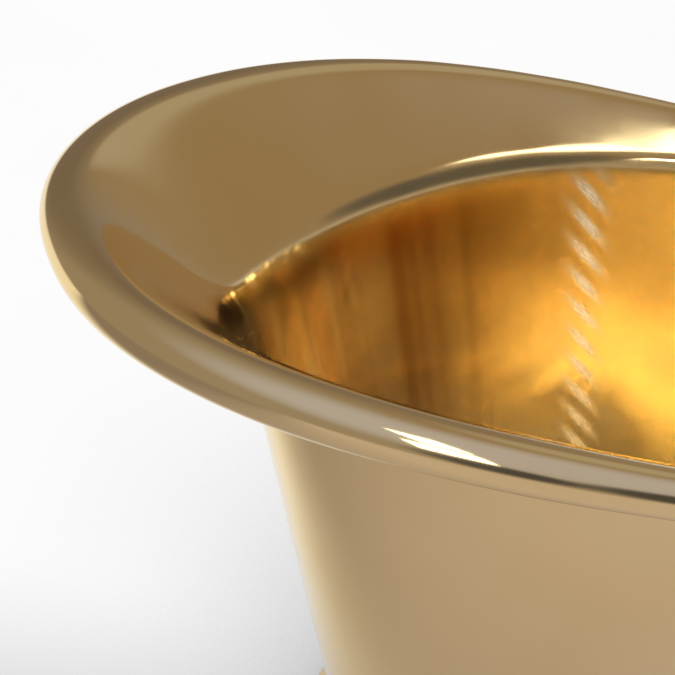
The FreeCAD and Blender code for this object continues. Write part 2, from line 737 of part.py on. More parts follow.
def plug_seal():
    """A rubber ring under the cap, coned to the mouth of the waste."""
    low = CAP_BOTTOM - SEAL_THICKNESS
    bore = STEM_RADIUS + BUSH_FIT
    return turned([(bore, low), (mouth_radius_at(low) - SEAL_GAP, low),
                   (mouth_radius_at(CAP_BOTTOM) - SEAL_GAP, CAP_BOTTOM), (bore, CAP_BOTTOM)], WASTE_X)


def latch_barrel():
    """A cup screwed through the hub, which guides the stem and holds the spring."""
    bore = STEM_RADIUS + STEM_FIT
    floor = BARREL_BOTTOM + BARREL_FLOOR
    return turned([(0, BARREL_BOTTOM), (BARREL_RADIUS, BARREL_BOTTOM), (BARREL_RADIUS, HUB_TOP),
                   (BARREL_HEAD_RADIUS, HUB_TOP), (BARREL_HEAD_RADIUS, BARREL_TOP), (bore, BARREL_TOP),
                   (bore, floor), (0, floor)], WASTE_X)


def helix_point(radius, rise, turns):
    """A point of a coil after so many turns, and the way it is heading there."""
    angle = 2 * math.pi * turns
    point = Vector(radius * math.cos(angle), radius * math.sin(angle), rise * turns)
    heading = Vector(-math.sin(angle), math.cos(angle), rise / (2 * math.pi * radius))
    return point, heading.normalize()


def arc_between(start, corner, end):
    """The arc that leaves start towards corner and reaches end coming from corner."""
    flatness = (end - start).Length / 2 / (corner - start).Length
    middle = ((start + end) / 2 + corner * flatness) / (1 + flatness)
    return Part.Arc(start, middle, end).toShape()


def two_arcs(start, heading, end, end_heading):
    """Two arcs that run smoothly from one point and heading to the next."""
    span = end - start
    both = heading + end_heading
    bend = 2 * (1 - heading.dot(end_heading))
    reach = (math.sqrt(span.dot(both) ** 2 + bend * span.dot(span)) - span.dot(both)) / bend
    first_corner = start + heading * reach
    last_corner = end - end_heading * reach
    joint = (first_corner + last_corner) / 2
    return [arc_between(start, first_corner, joint), arc_between(joint, last_corner, end)]


def latch_spring():
    """The spring under the stem, one round wire wound from the barrel's floor."""
    low = BARREL_BOTTOM + BARREL_FLOOR + SPRING_GAP + SPRING_WIRE
    high = STEM_TOP - STEM_LENGTH - SPRING_GAP - SPRING_WIRE
    rise = (high - low) / SPRING_TURNS
    edges = []
    for count in range(SPRING_TURNS * QUARTERS):
        first = helix_point(SPRING_RADIUS, rise, count / QUARTERS)
        last = helix_point(SPRING_RADIUS, rise, (count + 1) / QUARTERS)
        edges += two_arcs(*first, *last)
    start, heading = helix_point(SPRING_RADIUS, rise, 0)
    section = Part.Wire(Part.Circle(start, heading, SPRING_WIRE).toShape())
    spring = Part.Wire(edges).makePipeShell([section], True, False)
    spring.translate(Vector(WASTE_X, 0, low))
    return spring


def waste_and_plug():
    pieces = {"waste_body": waste_body(), "plug_cap": plug_cap(), "plug_seal": plug_seal()}
    pieces["plug_stem"] = cylinder(STEM_RADIUS, STEM_TOP - STEM_LENGTH, STEM_TOP, WASTE_X)
    pieces["latch_barrel"] = latch_barrel()
    pieces["latch_spring"] = latch_spring()
    pieces.update(waste_fixings())
    return pieces


def build():
    pieces = rim_and_walls()
    pieces["floor_pan"] = floor_pan()
    pieces["plinth_skirt"] = plinth_skirt()
    pieces.update(frame_bars())
    pieces["bearer_pads"] = bearer_pads()
    pieces.update(frame_fixings())
    pieces.update(levelling_feet())
    pieces.update(waste_and_plug())
    return pieces


os.makedirs("parts", exist_ok=True)
for node, shape in build().items():
    shape.exportStep(os.path.join("parts", node + ".step"))
    print(node, len(shape.Solids), "solids, valid", shape.isValid(), "volume", round(shape.Volume))
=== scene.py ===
"""A slipper bathtub in polished sheet brass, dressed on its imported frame."""

import json
import math

import bpy
import numpy as np
from mathutils import Matrix, Vector


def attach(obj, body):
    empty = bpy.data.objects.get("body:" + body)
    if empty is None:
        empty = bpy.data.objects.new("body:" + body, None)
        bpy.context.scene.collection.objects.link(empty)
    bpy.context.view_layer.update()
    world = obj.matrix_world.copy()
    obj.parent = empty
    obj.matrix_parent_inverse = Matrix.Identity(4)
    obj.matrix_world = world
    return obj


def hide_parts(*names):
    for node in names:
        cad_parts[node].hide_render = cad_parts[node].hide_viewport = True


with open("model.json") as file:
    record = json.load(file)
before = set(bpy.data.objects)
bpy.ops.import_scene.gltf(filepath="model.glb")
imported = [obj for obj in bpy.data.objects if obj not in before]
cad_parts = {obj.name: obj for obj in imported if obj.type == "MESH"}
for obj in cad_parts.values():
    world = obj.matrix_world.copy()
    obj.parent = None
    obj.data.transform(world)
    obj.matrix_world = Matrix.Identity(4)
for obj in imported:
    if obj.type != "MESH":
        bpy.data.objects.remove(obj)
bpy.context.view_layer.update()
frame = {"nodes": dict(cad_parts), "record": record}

# The rim and the sheet, in metres
TUB_LENGTH = 1.674
TUB_WIDTH = 0.760
RAISED_END_HEIGHT = 0.813
LOW_END_HEIGHT = 0.592
RIM_SQUARENESS = 2.16
SHEET = 0.0022
ROLL_RADIUS = 0.018
ROLL_TURN = 270.0
ROLL_STEPS = 6

# The brim and the bend under it
HEAD_BRIM_WIDTH = 0.146
SIDE_BRIM_WIDTH = 0.050
HEAD_BRIM_DROP = 0.088
SIDE_BRIM_DROP = 0.032
HEAD_BEND_REACH = 0.110
SIDE_BEND_REACH = 0.036
HEAD_LIP_SLOPE = 2.0
SIDE_LIP_SLOPE = 40.0
LIP_RUN = 0.014
BRIM_FADE_POWER = 3.0
LIP_FADE_POWER = 16.0
FLARE_STEP_SHARES = (0.34, 0.68)
WALL_STEP_SHARES = (0.0, 0.36, 0.70)

# The foot of the wall, the pan and the plinth
BASE_LENGTH = 1.156
BASE_WIDTH = 0.482
BASE_SHIFT = 0.103
BASE_SQUARENESS = 2.3
PAN_JOINT_HEIGHT = 0.130
PAN_HEIGHT = 0.088
PAN_BEND = 0.036
PLINTH_SEAT_SHARE = 0.44
PLINTH_FLARE = 0.026
PLINTH_CLEARANCE = 0.003
PLINTH_FLANGE = 0.020
PLINTH_CORNER = 0.006
PLINTH_FLARE_SHARES = (0.0, 0.10, 0.36)
SEAT_GAP = 0.0003

# The seams, and the hammered band that runs up each of them
SEAM_ANGLE = 80.0
SEAM_WIDTH = 0.009
SEAM_BAND = 0.065
NO_SEAM = 1.0
RIPPLE_LENGTH = 0.044
RIPPLE_SLANT = 0.9
RIPPLE_HEIGHT = 0.00005
SCRATCHES = (700.0, 60.0, 1.0)
SCRATCH_SHARES = (0.55, 1.0)
SCRATCH_RANGE = (0.35, 0.6)

# The waste and its plug
WASTE_X = 0.275
WASTE_HOLE_RADIUS = 0.025
CAP_RADIUS = 0.032
CAP_BOTTOM = 0.0943
CAP_EDGE = 0.002
CAP_CROWN = 0.005
CAP_ROUND = 0.0009
STEM_RADIUS = 0.005
STEM_SOCKET = 0.004
TURNED_STEPS = 128
ROUND_STEPS = 6
DOME_STEPS = 24

# Places along a section: its spline has one step for each control point past the first three
SPLINE_DEGREE = 3
LIP_PLACE = 7
ROLL_END = 12
PAN_END = 2
PLINTH_END = 4
INSIDE_FADE_START = 2.3
INSIDE_FADE_END = 3.2

# How finely the sheets are laid out
LONG_STEPS = 230
SEAM_STEPS = 10
FINE_STEP = 1e-3
ANGLE_STEP = 0.01
LAST_PLACE_MARGIN = 1e-9
SECTION_STEPS = ((0, 2, 26), (2, 4, 40), (4, 7, 40), (7, 12, 60))
PAN_BEND_STEPS = 28
PAN_FLOOR_STEPS = 12
PLINTH_STEPS = 48
FLAT_LAYOUT = "flat_layout"

# Planishing: how deep its waves are, and how many radians each turns per metre along X, Y and Z
PLANISHING_HEIGHT = 0.00006
PLANISHING_WAVES = ((31, 17, 9), (-23, 37, 15), (11, -29, 41), (47, 5, -27), (-13, 43, -33))
# Rolling: upright waves inside the tub, by how many there are round it and how deep they are
ROLLING_WAVES = ((19, 0.00003), (31, 0.000015), (47, 0.000005))

# The range that most of a noise falls in
NOISE_RANGE = (0.3, 0.7)

# The brass: its tones outside the tub, then those inside it with the painted dark reflections that deepen it
# towards the raised end, and how rough each part of it is
BRASS_LIGHT = (0.887, 0.690, 0.360)
BRASS_WARM = (0.870, 0.655, 0.320)
BRASS_CLOUDS = 5.0
BRASS_CLOUD_RANGE = (0.35, 0.65)
BRASS_BRIGHT = (0.930, 0.770, 0.440)
# The painted dark reflections inside: their darkest brass tone, where along X they fade in, and their upright
# streaks
BRASS_PAINTED_DARK = (0.395, 0.187, 0.037)
PAINTED_DARK_REACH = (-0.45, 0.02)
PAINTED_DARK_STREAKS = (12.0, 0.4, 1.0)
STREAK_SHARES = (0.7, 1.0)
STREAK_RANGE = (0.38, 0.62)
WALL_FOOT = (0.16, 0.36)
# The pale of the seams inside: partly the braze's own colour, partly a painted highlight on the hammered
# ripples
BRAZE_PALE_AND_HIGHLIGHT = (0.900, 0.790, 0.610)
BRAZE_ROUGHNESS = 0.34
MIRROR_ROUGHNESS = (0.05, 0.10)
MIRROR_CLOUDS = 9.0
SATIN_ROUGHNESS = (0.115, 0.135)
SATIN_BUFFING = (160.0, 9.0, 1.0)
HEAD_ROUGHNESS = 0.25
HEAD_REACH = (0.80, 0.97)
BUFFED_ONE_WAY = 1.0
CROSSWISE = 0.25

# The hardware's finishes by slot: dark and light tone, roughness from and to, metal or not,
# the fineness of its grain and the grain's depth
FINISH_CLOUDS = 16.0
FINISH_TONE_RANGE = (0.3, 1.4)
GRAIN_RANGE = (0.2, 0.7)
GRAIN_STRENGTH = 0.35
TURNED_PITCH = 0.0007
FINISHES = {
    "core_steel": ((0.44, 0.44, 0.44), (0.60, 0.59, 0.57), (0.34, 0.52), 1.0, 700.0, 0.00005),
    "frame_paint": ((0.030, 0.030, 0.034), (0.062, 0.061, 0.064), (0.33, 0.46), 0.0, 420.0, 0.00020),
    "rubber": ((0.020, 0.020, 0.021), (0.044, 0.043, 0.042), (0.68, 0.88), 0.0, 1300.0, 0.00012),
    "zinc_steel": ((0.52, 0.54, 0.58), (0.72, 0.69, 0.60), (0.24, 0.40), 1.0, 1100.0, 0.00004),
    "waste_brass": ((0.840, 0.630, 0.300), (0.890, 0.705, 0.375), (0.10, 0.20), 1.0, 600.0, 0.00003),
    "slip_plastic": ((0.74, 0.72, 0.66), (0.84, 0.83, 0.79), (0.38, 0.52), 0.0, 500.0, 0.00006),
    "spring_steel": ((0.44, 0.44, 0.46), (0.58, 0.58, 0.60), (0.20, 0.34), 1.0, 1800.0, 0.00003),
}

# The studio: the floor, where it is lit, its shade and fade, the greys of the world, and the lamps
FLOOR_PALE = (0.99, 0.99, 0.99)
FLOOR_DIM = (0.290, 0.262, 0.275)
FLOOR_CLEAR = (0.600, 0.545, 0.565)
CLEAR_WAY = (0.7, -0.7, 0.0)
CLEAR_RUN = (-1.2, 0.3)
FLOOR_SHADE = (0.10, 0.092, 0.092)
FLOOR_REACH = 40.0
FLOOR_SHADE_REACH = 1.1
FLOOR_SHADE_SHARES = (0.12, 0.78)
FLOOR_SHADE_SAMPLES = 8
FLOOR_CLOUDS = 0.8
FLOOR_CLOUD_SHARES = (0.97, 1.0)
FLOOR_ROUGHNESS = 0.9
FLOOR_FADE = (4.5, 16.0)
LIT_WAY = (0.45, 0.90, 0.0)
LIT_RUN = (-0.55, 0.05)
WORLD_GREY = (0.345, 0.315, 0.295)
# Each tint of the world: the way to it, round from +Y towards +X and above the level, the wide angle
# where it starts, the narrow one where it is full, and its colour
WORLD_TINTS = (
    (85, 30, 55, 20, (0.325, 0.258, 0.190)),
    (5, 12, 52, 12, (0.200, 0.168, 0.155)),
    (58, 33, 15, 7, (0.430, 0.400, 0.370)),
    (165, 64, 58, 20, (0.500, 0.530, 0.740)),
    (158, 12, 20, 8, (0.080, 0.080, 0.095)),
    (186, 13, 18, 7, (0.080, 0.082, 0.105)),
    (113, 6, 12, 6, (0.120, 0.115, 0.115)),
)
SUBJECT = (-0.3, 0.0, 0.7)
LAMP_DISTANCE = 16.0
LAMP_COLOUR = (0.93, 0.97, 1.0)
# Each lamp: the way to it round from +Y towards +X, from and to, the same above the level,
# and how bright it is
LAMPS = (
    ("window_lamp", (184, 199), (28, 43), 4.0),
    ("upper_window_lamp", (180, 194), (48, 66), 4.0),
    ("end_lamp", (104.5, 112), (20.5, 26.8), 3.0),
    ("first_pane_lamp", (120.5, 122), (12, 38), 15.0),
    ("second_pane_lamp", (123.8, 124.6), (12, 38), 8.0),
    ("third_pane_lamp", (128, 132), (12, 30), 10.0),
    ("fourth_pane_lamp", (135, 142), (12, 30), 10.0),
)
# The lamps that light the tub's inside, kept off its rolled rims
INSIDE_LAMPS = (
    ("first_left_lamp", (308.5, 311), (26, 44), 16.0),
    ("second_left_lamp", (313, 314.5), (26, 44), 16.0),
    ("third_left_lamp", (317, 320.5), (26, 44), 16.0),
    ("first_back_lamp", (220, 225), (44, 58), 9.0),
    ("second_back_lamp", (229, 232), (44, 58), 9.0),
    ("third_back_lamp", (236, 239), (44, 58), 6.0),
    ("foot_lamp", (160, 190), (28, 36), 3.0),
    ("high_lamp", (280, 298), (60, 68), 2.0),
    ("slit_lamp", (274.4, 275.0), (50, 70), 14.0),
)

# The camera
CAMERA_TURN = -30.2
CAMERA_RISE = 36.551
CAMERA_TILT = 12.823
CAMERA_DISTANCE = 1.126726
CAMERA_TARGET = (-0.562508, 0.036403, 0.652984)
CAMERA_NEAR = 0.01
SENSOR_WIDTH = 36.0
CAMERA_LENS = 66.67

RIM_HALF_LENGTH = TUB_LENGTH / 2 - ROLL_RADIUS
RIM_HALF_WIDTH = TUB_WIDTH / 2 - ROLL_RADIUS
RIM_RAISED = RAISED_END_HEIGHT - ROLL_RADIUS
RIM_LOW = LOW_END_HEIGHT - ROLL_RADIUS
UP = np.array((0.0, 0.0, 1.0))


def unit(vectors):
    """The same directions, one long."""
    return vectors / np.linalg.norm(vectors, axis=-1, keepdims=True)


def oval(angles, half_length, half_width, squareness):
    """Points of an oval in plan, counted round from the -X tip, with the directions out of it."""
    along, across = np.cos(np.radians(angles)), np.sin(np.radians(angles))
    size = (abs(along) ** squareness + abs(across) ** squareness) ** (-1 / squareness)
    along, across = -size * along, size * across
    flat = np.zeros_like(angles)
    power = squareness - 1
    slope_x = np.sign(along) * abs(along) ** power / half_length
    slope_y = np.sign(across) * abs(across) ** power / half_width
    points = np.stack((half_length * along, half_width * across, flat), -1)
    return points, unit(np.stack((slope_x, slope_y, flat), -1))


def raised_share(x):
    """How far the rim has risen at a place along the tub, from 0 at the low end to 1 at the raised end."""
    return (1 - np.sin(np.pi * x / (2 * RIM_HALF_LENGTH))) / 2


def head_blend(head, side, x, power=BRIM_FADE_POWER):
    """A size that is largest at the headrest and fades along the sides."""
    return (side + (head - side) * raised_share(x) ** power)[..., None]


def rim_line(angles):
    """The middle of the rolled edge and the directions out of it."""
    points, out = oval(angles, RIM_HALF_LENGTH, RIM_HALF_WIDTH, RIM_SQUARENESS)
    points[..., 2] = RIM_LOW + (RIM_RAISED - RIM_LOW) * raised_share(points[..., 0])
    return points, out


def foot_line(angles):
    """The wall's bottom edge and the directions out of it."""
    points, out = oval(angles, BASE_LENGTH / 2, BASE_WIDTH / 2, BASE_SQUARENESS)
    return points + (BASE_SHIFT, 0, PAN_JOINT_HEIGHT), out


def corner_line(angles):
    """The corner of the bend between the wall and the brim."""
    rim, out = rim_line(angles)
    width = head_blend(HEAD_BRIM_WIDTH, SIDE_BRIM_WIDTH, rim[..., 0])
    drop = head_blend(HEAD_BRIM_DROP, SIDE_BRIM_DROP, rim[..., 0])
    return rim - out * width - UP * drop


def control_gain(step):
    """How far outside a circle the control points of a cubic spline along it lie."""
    return 3 / (2 + math.cos(math.radians(step)))


def wall_rows(angles):
    """Control points of the inside face: up the wall, over the bend and brim, round the roll."""
    rim, out = rim_line(angles)
    foot, corner = foot_line(angles)[0], corner_line(angles)
    below = corner + unit(foot - corner) * head_blend(HEAD_BEND_REACH, SIDE_BEND_REACH, rim[..., 0])
    slope = head_blend(HEAD_LIP_SLOPE, SIDE_LIP_SLOPE, rim[..., 0], LIP_FADE_POWER)
    step = ROLL_TURN / ROLL_STEPS
    radius = ROLL_RADIUS * control_gain(step)
    turns = [np.radians(90 + slope - step * count) for count in range(ROLL_STEPS + 1)]
    roll = [rim + (out * np.cos(turn) + UP * np.sin(turn)) * radius for turn in turns]
    lip = roll[0] - (out * np.cos(np.radians(slope)) + UP * np.sin(np.radians(slope))) * LIP_RUN
    rows = [foot + (below - foot) * share for share in WALL_STEP_SHARES] + [below, corner]
    rows += [corner + (lip - corner) * share for share in FLARE_STEP_SHARES] + [lip]
    return np.stack(rows + roll, 1)


def pan_rows(angles):
    """Control points of the pan's inside face, from its flat floor up to its joint with the wall."""
    foot, out = foot_line(angles)
    down = unit(foot - corner_line(angles))
    corner = foot + down * ((PAN_JOINT_HEIGHT - PAN_HEIGHT) / -down[..., 2:])
    rows = [corner - out * PAN_BEND * 2, corner - out * PAN_BEND, corner, (foot + corner) / 2, foot]
    return np.stack(rows, 1)


def plinth_rows(angles):
    """Control points of the skirt's outside, from its seat under the pan down to its turned-in edge."""
    seat_place = np.array([PLINTH_SEAT_SHARE * PAN_END])
    pan, square = sheet_faces(pan_rows, angles, seat_place)
    out = foot_line(angles)[1]
    top = (pan - square * (SHEET + SEAT_GAP))[:, 0]
    foot = top * (1, 1, 0) + UP * PLINTH_CLEARANCE + out * PLINTH_FLARE
    drop = UP * (top[:, 2:] - foot[:, 2:]) / len(PLINTH_FLARE_SHARES)
    rows = [top + out * PLINTH_FLARE * share - drop * row for row, share in enumerate(PLINTH_FLARE_SHARES)]
    rows += [foot + UP * PLINTH_CORNER, foot, foot - out * PLINTH_CORNER, foot - out * PLINTH_FLANGE]
    return np.stack(rows, 1)


def spline_weights(places, count):
    """The share of each of the control points at places along a clamped cubic spline."""
    last = count - SPLINE_DEGREE
    knots = np.concatenate((np.zeros(SPLINE_DEGREE), np.arange(last + 1), np.full(SPLINE_DEGREE, last)))
    places = np.clip(places, 0, last - LAST_PLACE_MARGIN)[:, None]
    weights = ((places >= knots[:-1]) & (places < knots[1:])).astype(float)
    for order in range(1, SPLINE_DEGREE + 1):
        low, high = knots[:-order - 1], knots[order + 1:]
        rise = knots[order:-1] - low
        fall = high - knots[1:-order]
        up = np.divide(places - low, rise, out=np.zeros_like(weights[:, 1:]), where=rise > 0)
        down = np.divide(high - places, fall, out=np.zeros_like(weights[:, 1:]), where=fall > 0)
        weights = up * weights[:, :-1] + down * weights[:, 1:]
    return weights


def true_form(rows):
    """The sheet that rows lay out, as a function of angles round the tub and places along its section."""
    def points(angles, places):
        net = rows(angles)
        return np.einsum("pk,akc->apc", spline_weights(places, net.shape[1]), net)
    return points


def faces_of(form, rows, angles, places):
    """Points of a form made from rows and the directions square to it."""
    last = rows(angles[:1]).shape[1] - SPLINE_DEGREE
    low, high = np.maximum(places - FINE_STEP, 0), np.minimum(places + FINE_STEP, last)
    along = form(angles, high) - form(angles, low)
    around = form(angles + ANGLE_STEP, places) - form(angles - ANGLE_STEP, places)
    return form(angles, places), unit(np.cross(around, along))


def sheet_faces(rows, angles, places):
    """Points of the sheet and the directions square to it."""
    return faces_of(true_form(rows), rows, angles, places)


def seam_distance(angles):
    """How far each angle lies round the rim from the nearer seam, in metres, with its sign."""
    left = (angles - SEAM_ANGLE + 180) % 360 - 180
    right = (-angles - SEAM_ANGLE + 180) % 360 - 180
    nearer = np.where(abs(left) < abs(right), left, right)
    ahead, behind = rim_line(angles + ANGLE_STEP)[0], rim_line(angles - ANGLE_STEP)[0]
    return nearer * np.linalg.norm(ahead - behind, axis=-1) / (2 * ANGLE_STEP)


def handwork(points, angles, places):
    """How far hand planishing leaves the sheet from its true form, in metres."""
    x, y, z = np.moveaxis(points, -1, 0)
    soft = np.zeros_like(x)
    for wave in PLANISHING_WAVES:
        soft += np.sin(wave[0] * x + wave[1] * y + wave[2] * z)
    across = seam_distance(angles)[:, None]
    band = np.exp(-(across / SEAM_BAND) ** 2)
    inner = band * np.sin(2 * np.pi * (z + RIPPLE_SLANT * across) / RIPPLE_LENGTH) * RIPPLE_HEIGHT
    for count, depth in ROLLING_WAVES:
        inner += depth * np.sin(count * np.radians(angles))[:, None]
    return soft * PLANISHING_HEIGHT + inner * inside_share(places)


def planished_form(rows):
    """The same sheet with its handwork."""
    def points(angles, places):
        base, square = sheet_faces(rows, angles, places)
        return base + square * handwork(base, angles, places)[..., None]
    return points


def planished_faces(rows, angles, places):
    """Points of the worked sheet and the directions square to it."""
    return faces_of(planished_form(rows), rows, angles, places)


def place_steps(first, last):
    """Places along the section between two of its marks, closer together where it bends."""
    runs = [np.linspace(low, high, count, endpoint=False) for low, high, count in SECTION_STEPS]
    places = np.append(np.concatenate(runs), ROLL_END)
    return places[(places >= first) & (places <= last)]


def add_mesh(name, points, quads, normals=None):
    """A mesh object from points, four-cornered faces and, if given, a direction for each corner."""
    mesh = bpy.data.meshes.new(name)
    mesh.vertices.add(len(points))
    mesh.vertices.foreach_set("co", np.asarray(points, np.float32).ravel())
    mesh.loops.add(quads.size)
    mesh.loops.foreach_set("vertex_index", quads.astype(np.int32).ravel())
    mesh.polygons.add(len(quads))
    mesh.polygons.foreach_set("loop_start", np.arange(0, quads.size, 4, dtype=np.int32))
    mesh.update(calc_edges=True)
    mesh.polygons.foreach_set("use_smooth", np.ones(len(quads), bool))
    if normals is not None:
        mesh.normals_split_custom_set(normals.reshape(-1, 3).tolist())
    piece = bpy.data.objects.new(name, mesh)
    bpy.context.scene.collection.objects.link(piece)
    return piece


def grid_quads(index):
    """The faces between neighbours in a grid of point numbers."""
    return np.stack((index[:-1, :-1], index[1:, :-1], index[1:, 1:], index[:-1, 1:]), -1).reshape(-1, 4)


def sheet_piece(name, points, square, closed=False):
    """A sheet of metal: its face, its back and the edges between them."""
    count = points.shape[0] * points.shape[1]
    index = np.arange(count).reshape(points.shape[:2])
    if closed:
        index = np.concatenate((index, index[:1]))
    face = grid_quads(index)
    borders = [index[:, 0], index[::-1, -1]]
    if not closed:
        borders += [index[-1], index[0, ::-1]]
    edges = [np.stack((line[1:], line[:-1], line[:-1] + count, line[1:] + count), -1) for line in borders]
    edges = np.concatenate(edges)
    both = np.concatenate((points, points - square * SHEET)).reshape(-1, 3)
    corners = both[edges]
    flat = unit(np.cross(corners[:, 1] - corners[:, 0], corners[:, 2] - corners[:, 1]))
    lean = square.reshape(-1, 3)
    normals = np.concatenate((lean[face], -lean[face[:, ::-1]], np.repeat(flat[:, None], 4, 1)))
    return add_mesh(name, both, np.concatenate((face, face[:, ::-1] + count, edges)), normals)


def set_attribute(piece, name, values):
    """A number for each point of a piece."""
    kind = piece.data.attributes.new(name, "FLOAT", "POINT")
    kind.data.foreach_set("value", np.asarray(values, np.float32).ravel())


def lay_out(piece, around, run):
    """Lays a sheet out flat, so that its material knows which way is round the tub."""
    corners = np.zeros(len(piece.data.loops), np.int32)
    piece.data.loops.foreach_get("vertex_index", corners)
    turn = np.tile(around.ravel(), 2)[corners].reshape(-1, 4)
    split = np.ptp(turn, axis=1) > np.pi
    turn[split] += 2 * np.pi * (turn[split] < np.pi)
    places = np.stack((turn.ravel(), np.tile(run.ravel(), 2)[corners]), -1)
    piece.data.uv_layers.new(name=FLAT_LAYOUT).data.foreach_set("uv", places.astype(np.float32).ravel())


def mark_sheet(piece, points, angles, inside, seam_offset):
    """Tells a sheet's material where it lies: round the rim, down from the lip, inside, and off the seam."""
    steps = np.linalg.norm(np.diff(points, axis=1), axis=-1)
    run = np.concatenate((np.zeros((len(points), 1)), np.cumsum(steps, 1)), 1)
    around = np.radians(angles)[:, None] * np.ones_like(run)
    inside = np.ones((len(points), 1)) * inside
    off = seam_offset[:, None] * np.ones_like(run)
    for name, values in (("around", around), ("run", run), ("seam_offset", off)):
        set_attribute(piece, name, np.concatenate((values, values)))
    set_attribute(piece, "inside", np.concatenate((inside, inside * 0)))
    lay_out(piece, around, run)


def inside_share(places):
    """1 down in the tub, where the finish is softer, fading to 0 over the bend."""
    share = np.clip((INSIDE_FADE_END - places) / (INSIDE_FADE_END - INSIDE_FADE_START), 0, 1)
    return share * share * (3 - 2 * share)


def tub_piece(name, first, last, steps, low, high):
    """A piece of the tub's wall or rim between two angles and two places on its section."""
    angles, places = np.linspace(first, last, steps + 1), place_steps(low, high)
    points, square = planished_faces(wall_rows, angles, places)
    piece = sheet_piece(name + "_sheet", points, square)
    mark_sheet(piece, points, angles, inside_share(places), seam_distance(angles))
    slot = "braze" if name.startswith("brazed_seam") else "polished_brass"
    dress(piece, "tub", slot, polished_brass, name)


def tub_pieces():
    """The two ends of the tub with their rolled edges, and the seams between them."""
    speed = np.linalg.norm(np.diff(rim_line(np.array((SEAM_ANGLE, SEAM_ANGLE + 1)))[0], axis=0))
    half = SEAM_WIDTH / 2 / speed
    ends = {"slipper_end": (half - SEAM_ANGLE, SEAM_ANGLE - half),
            "low_end": (SEAM_ANGLE + half, 360 - SEAM_ANGLE - half)}
    for name, (first, last) in ends.items():
        tub_piece(name + "_shell", first, last, LONG_STEPS, 0, LIP_PLACE)
        tub_piece(name + "_rolled_rim", first, last, LONG_STEPS, LIP_PLACE, ROLL_END)
    for name, middle in (("left", SEAM_ANGLE), ("right", -SEAM_ANGLE)):
        tub_piece("brazed_seam_" + name, middle - half, middle + half, SEAM_STEPS, 0, ROLL_END)


def pan_piece():
    """The dished floor, from the rim of the waste hole out to its joint with the wall."""
    angles = np.arange(0, 360, 360 / (2 * LONG_STEPS))
    bend, square = sheet_faces(pan_rows, angles, np.linspace(0, PAN_END, PAN_BEND_STEPS))
    centre = np.array((WASTE_X, 0, PAN_HEIGHT))
    hole = centre + unit(bend[:, 0] - centre) * WASTE_HOLE_RADIUS
    shares = np.linspace(0, 1, PAN_FLOOR_STEPS, endpoint=False)[None, :, None]
    floor = hole[:, None] + (bend[:, :1] - hole[:, None]) * shares
    points = np.concatenate((floor, bend), 1)
    square = np.concatenate((np.zeros_like(floor) + UP, square), 1)
    piece = sheet_piece("floor_pan_sheet", points, square, closed=True)
    mark_sheet(piece, points, angles, np.ones(points.shape[1]), np.full_like(angles, NO_SEAM))
    dress(piece, "tub", "polished_brass", polished_brass, "floor_pan")


def plinth_piece():
    """The skirt that hides the frame and the feet."""
    angles = np.arange(0, 360, 360 / (2 * LONG_STEPS))
    points, square = sheet_faces(plinth_rows, angles, np.linspace(0, PLINTH_END, PLINTH_STEPS))
    piece = sheet_piece("plinth_skirt_sheet", points, square, closed=True)
    mark_sheet(piece, points, angles, np.zeros(points.shape[1]), np.full_like(angles, NO_SEAM))
    dress(piece, "tub", "polished_brass", polished_brass, "plinth_skirt")


def dome_outline():
    """The plug's cap from its crown down to its edge and in to the stem's socket, as radii and heights."""
    edge_top = CAP_BOTTOM + CAP_EDGE
    dome_radius = (CAP_RADIUS ** 2 + CAP_CROWN ** 2) / (2 * CAP_CROWN)
    reach = np.linspace(0, CAP_RADIUS, DOME_STEPS)
    heights = edge_top + CAP_CROWN - dome_radius + np.sqrt(dome_radius ** 2 - reach ** 2)
    socket_top = CAP_BOTTOM + STEM_SOCKET
    under = [(CAP_RADIUS, CAP_BOTTOM), (STEM_RADIUS, CAP_BOTTOM), (STEM_RADIUS, socket_top), (0, socket_top)]
    return np.array(list(zip(reach, heights)) + under)


def rounded_outline(corners, radius):
    """An outline with its corners rounded off, and the directions out of it."""
    points, out = [corners[0]], [np.array((0.0, 1.0))]
    for before, corner, after in zip(corners, corners[1:], corners[2:]):
        ways = before - corner, after - corner
        sizes = [np.linalg.norm(way) for way in ways]
        cut = min(radius, min(sizes) / 2)
        start, end = (corner + way / size * cut for way, size in zip(ways, sizes))
        for share in np.linspace(0, 1, ROUND_STEPS):
            points.append(start * (1 - share) ** 2 + corner * 2 * share * (1 - share) + end * share ** 2)
            heading = (corner - start) * (1 - share) + (end - corner) * share
            out.append(unit(np.array((-heading[1], heading[0]))))
    return np.array(points + [corners[-1]]), np.array(out + [np.array((0.0, -1.0))])


def cap_piece():
    """The plug's domed cap, turned from brass with its edges eased."""
    outline, lean = rounded_outline(dome_outline(), CAP_ROUND)
    turns = np.linspace(0, 2 * np.pi, TURNED_STEPS, endpoint=False)[:, None]
    ring = np.stack((np.cos(turns), np.sin(turns), np.zeros_like(turns)), -1)
    points = (WASTE_X, 0, 0) + ring * outline[None, :, :1] + UP * outline[None, :, 1:]
    normals = (ring * lean[None, :, :1] + UP * lean[None, :, 1:]).reshape(-1, 3)
    index = np.arange(points.size // 3).reshape(points.shape[:2])
    quads = grid_quads(np.concatenate((index, index[:1])))
    piece = add_mesh("plug_cap_turned", points.reshape(-1, 3), quads[:, ::-1], normals[quads[:, ::-1]])
    dress(piece, "plug", "waste_brass", finishes["waste_brass"], "plug_cap")


def dress(piece, body, slot, material, *nodes):
    """Seats a finished piece on its body in place of CAD nodes."""
    piece.data.materials.append(material)
    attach(piece, body)
    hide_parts(*nodes)


def add_node(tree, kind, sockets=None, **settings):
    """A shader node with its settings, and its inputs set to values or joined to other nodes."""
    made = tree.nodes.new("ShaderNode" + kind)
    for name, value in settings.items():
        setattr(made, name, value)
    for name, value in (sockets or {}).items():
        if isinstance(value, bpy.types.NodeSocket):
            tree.links.new(value, made.inputs[name])
        else:
            made.inputs[name].default_value = value
    return made


